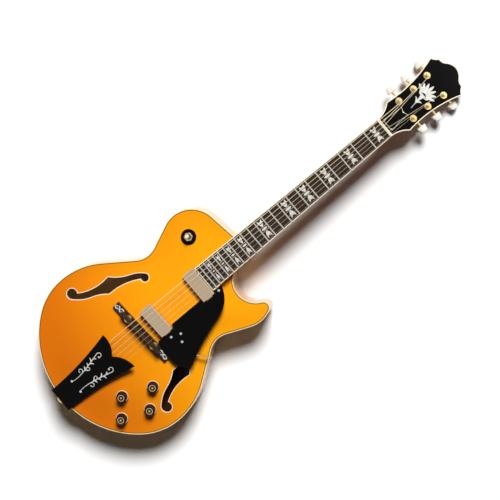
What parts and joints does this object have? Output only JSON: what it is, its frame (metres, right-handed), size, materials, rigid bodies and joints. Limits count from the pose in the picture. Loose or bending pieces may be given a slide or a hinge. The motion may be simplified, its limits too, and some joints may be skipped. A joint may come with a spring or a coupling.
{
  "type": "archtop guitar",
  "caption": "Hollow-body archtop electric guitar with f-holes, round cutaway, floating bridge, trapeze tailpiece, floating pickups and pickguard, and geared tuning machines.",
  "frame": {"origin": "under the middle of the guitar's length and width, level with its lowest point, the back edge of the headstock's tip", "axes": "+X to the treble side, +Y from tail to head, +Z out of the top"},
  "size_m": [0.3676, 1.0424, 0.1184],
  "materials": {
    "amber_top": "gloss lacquer over amber stain",
    "maple": "gloss lacquer",
    "cream_binding": "gloss",
    "dark_purfling": "gloss",
    "inner_wood": "bare",
    "neck_wood": "gloss lacquer",
    "ebony": "oiled",
    "pearl": "polished",
    "fret_wire": "polished",
    "bone": "polished",
    "black_gloss": "gloss",
    "gold": "plated",
    "pickup_metal": "brushed",
    "black_matte": "matte",
    "steel": "plain",
    "string_steel": "wound and plain",
    "pearl_button": "polished",
    "knob_wood": "oiled"
  },
  "bodies": {
    "guitar": {"back_binding": "cream_binding", "back_plate": "maple", "body_blocks": "inner_wood", "bridge_base": "ebony", "bridge_pickup_cover": "pickup_metal", "bridge_posts": "gold", "f_hole_bindings": "cream_binding", "fingerboard": "ebony", "fingerboard_binding": "cream_binding", "fingerboard_inlays": "pearl", "frets": "fret_wire", "headstock_binding": "cream_binding", "headstock_face": "black_gloss", "heel_cap": "black_gloss", "linings": "inner_wood", "neck": "neck_wood", "neck_pickup_cover": "pickup_metal", "nut": "bone", "output_jack": "gold", "pickguard": "black_gloss", "pickguard_brackets": "gold", "pickup_coils": "black_matte", "potentiometers": "steel", "rim_bass_side": "maple", "rim_treble_side": "maple", "screws": "gold", "strap_buttons": "gold", "strings": "string_steel", "switch_body": "steel", "switch_ring": "black_gloss", "tailpiece_hardware": "gold", "tailpiece_plate": "black_gloss", "tone_bars": "inner_wood", "top_binding": "cream_binding", "top_plate": "amber_top", "top_purfling": "dark_purfling", "truss_rod": "steel", "truss_rod_cover": "black_gloss", "tuner_bushings": "gold", "tuner_housings": "gold"},
    "volume_knob_neck": {"volume_knob_neck": "knob_wood"},
    "volume_knob_bridge": {"volume_knob_bridge": "knob_wood"},
    "tone_knob_neck": {"tone_knob_neck": "knob_wood"},
    "tone_knob_bridge": {"tone_knob_bridge": "knob_wood"},
    "switch_lever": {"switch_lever": "gold"},
    "tuner_button_bass_1": {"tuner_button_bass_1": "pearl_button"},
    "tuner_post_bass_1": {"tuner_post_bass_1": "gold"},
    "tuner_button_treble_1": {"tuner_button_treble_1": "pearl_button"},
    "tuner_post_treble_1": {"tuner_post_treble_1": "gold"},
    "tuner_button_bass_2": {"tuner_button_bass_2": "pearl_button"},
    "tuner_post_bass_2": {"tuner_post_bass_2": "gold"},
    "tuner_button_treble_2": {"tuner_button_treble_2": "pearl_button"},
    "tuner_post_treble_2": {"tuner_post_treble_2": "gold"},
    "tuner_button_bass_3": {"tuner_button_bass_3": "pearl_button"},
    "tuner_post_bass_3": {"tuner_post_bass_3": "gold"},
    "tuner_button_treble_3": {"tuner_button_treble_3": "pearl_button"},
    "tuner_post_treble_3": {"tuner_post_treble_3": "gold"},
    "bridge_saddle": {"bridge_saddle": "ebony"},
    "thumbwheel_bass": {"thumbwheel_bass": "gold"},
    "thumbwheel_treble": {"thumbwheel_treble": "gold"}
  },
  "joints": [
    {"name": "volume_knob_neck_turn", "type": "hinge", "parent": "guitar", "child": "volume_knob_neck", "pos_m": [0.09801, -0.34202, 0.08821], "axis": [0.107, 0.0017, 0.9943], "range_deg": [-150, 150]},
    {"name": "volume_knob_bridge_turn", "type": "hinge", "parent": "guitar", "child": "volume_knob_bridge", "pos_m": [0.0739, -0.40273, 0.08765], "axis": [0.0782, -0.0926, 0.9926], "range_deg": [-150, 150]},
    {"name": "tone_knob_neck_turn", "type": "hinge", "parent": "guitar", "child": "tone_knob_neck", "pos_m": [0.12899, -0.37712, 0.08325], "axis": [0.1466, -0.0522, 0.9878], "range_deg": [-150, 150]},
    {"name": "tone_knob_bridge_turn", "type": "hinge", "parent": "guitar", "child": "tone_knob_bridge", "pos_m": [0.10738, -0.43401, 0.08061], "axis": [0.1008, -0.1186, 0.9878], "range_deg": [-150, 150]},
    {"name": "switch_tip", "type": "hinge", "parent": "guitar", "child": "switch_lever", "pos_m": [-0.08309, -0.09365, 0.0728], "axis": [0.0016, 0.9994, -0.0337], "range_deg": [-12, 12]},
    {"name": "tuner_button_bass_1_turn", "type": "hinge", "parent": "guitar", "child": "tuner_button_bass_1", "pos_m": [-0.022, 0.39504, 0.03444], "axis": [-1, 0, 0], "continuous": true},
    {"name": "tuner_post_bass_1_turn", "type": "hinge", "parent": "guitar", "child": "tuner_post_bass_1", "pos_m": [-0.022, 0.39486, 0.05415], "axis": [0, 0.3007, 0.9537], "continuous": true},
    {"name": "tuner_button_treble_1_turn", "type": "hinge", "parent": "guitar", "child": "tuner_button_treble_1", "pos_m": [0.022, 0.39504, 0.03444], "axis": [1, 0, 0], "continuous": true},
    {"name": "tuner_post_treble_1_turn", "type": "hinge", "parent": "guitar", "child": "tuner_post_treble_1", "pos_m": [0.022, 0.39486, 0.05415], "axis": [0, 0.3007, 0.9537], "continuous": true},
    {"name": "tuner_button_bass_2_turn", "type": "hinge", "parent": "guitar", "child": "tuner_button_bass_2", "pos_m": [-0.022, 0.43129, 0.023], "axis": [-1, 0, 0], "continuous": true},
    {"name": "tuner_post_bass_2_turn", "type": "hinge", "parent": "guitar", "child": "tuner_post_bass_2", "pos_m": [-0.022, 0.43111, 0.04272], "axis": [0, 0.3007, 0.9537], "continuous": true},
    {"name": "tuner_button_treble_2_turn", "type": "hinge", "parent": "guitar", "child": "tuner_button_treble_2", "pos_m": [0.022, 0.43129, 0.023], "axis": [1, 0, 0], "continuous": true},
    {"name": "tuner_post_treble_2_turn", "type": "hinge", "parent": "guitar", "child": "tuner_post_treble_2", "pos_m": [0.022, 0.43111, 0.04272], "axis": [0, 0.3007, 0.9537], "continuous": true},
    {"name": "tuner_button_bass_3_turn", "type": "hinge", "parent": "guitar", "child": "tuner_button_bass_3", "pos_m": [-0.0252, 0.468, 0.01143], "axis": [-1, 0, 0], "continuous": true},
    {"name": "tuner_post_bass_3_turn", "type": "hinge", "parent": "guitar", "child": "tuner_post_bass_3", "pos_m": [-0.0252, 0.46782, 0.03115], "axis": [0, 0.3007, 0.9537], "continuous": true},
    {"name": "tuner_button_treble_3_turn", "type": "hinge", "parent": "guitar", "child": "tuner_button_treble_3", "pos_m": [0.0252, 0.468, 0.01143], "axis": [1, 0, 0], "continuous": true},
    {"name": "tuner_post_treble_3_turn", "type": "hinge", "parent": "guitar", "child": "tuner_post_treble_3", "pos_m": [0.0252, 0.46782, 0.03115], "axis": [0, 0.3007, 0.9537], "continuous": true},
    {"name": "saddle_lift", "type": "slide", "parent": "guitar", "child": "bridge_saddle", "axis": [0, 0, 1], "range_m": [-0.0016, 0]},
    {"name": "thumbwheel_bass_turn", "type": "hinge", "parent": "bridge_saddle", "child": "thumbwheel_bass", "pos_m": [-0.03693, -0.28984, 0.10099], "axis": [0, 0, 1], "range_deg": [-822.86, 0]},
    {"name": "thumbwheel_treble_turn", "type": "hinge", "parent": "bridge_saddle", "child": "thumbwheel_treble", "pos_m": [0.03693, -0.2852, 0.10099], "axis": [0, 0, 1], "range_deg": [-822.86, 0]}
  ],
  "couplings": [
    {"joint": "tuner_post_bass_1_turn", "follows": "tuner_button_bass_1_turn", "ratio": 0.066667},
    {"joint": "tuner_post_treble_1_turn", "follows": "tuner_button_treble_1_turn", "ratio": 0.066667},
    {"joint": "tuner_post_bass_2_turn", "follows": "tuner_button_bass_2_turn", "ratio": 0.066667},
    {"joint": "tuner_post_treble_2_turn", "follows": "tuner_button_treble_2_turn", "ratio": 0.066667},
    {"joint": "tuner_post_bass_3_turn", "follows": "tuner_button_bass_3_turn", "ratio": 0.066667},
    {"joint": "tuner_post_treble_3_turn", "follows": "tuner_button_treble_3_turn", "ratio": 0.066667},
    {"joint": "saddle_lift", "follows": "thumbwheel_bass_turn", "m_per_rad": 0.00011141},
    {"joint": "thumbwheel_treble_turn", "follows": "thumbwheel_bass_turn", "ratio": 1}
  ]
}
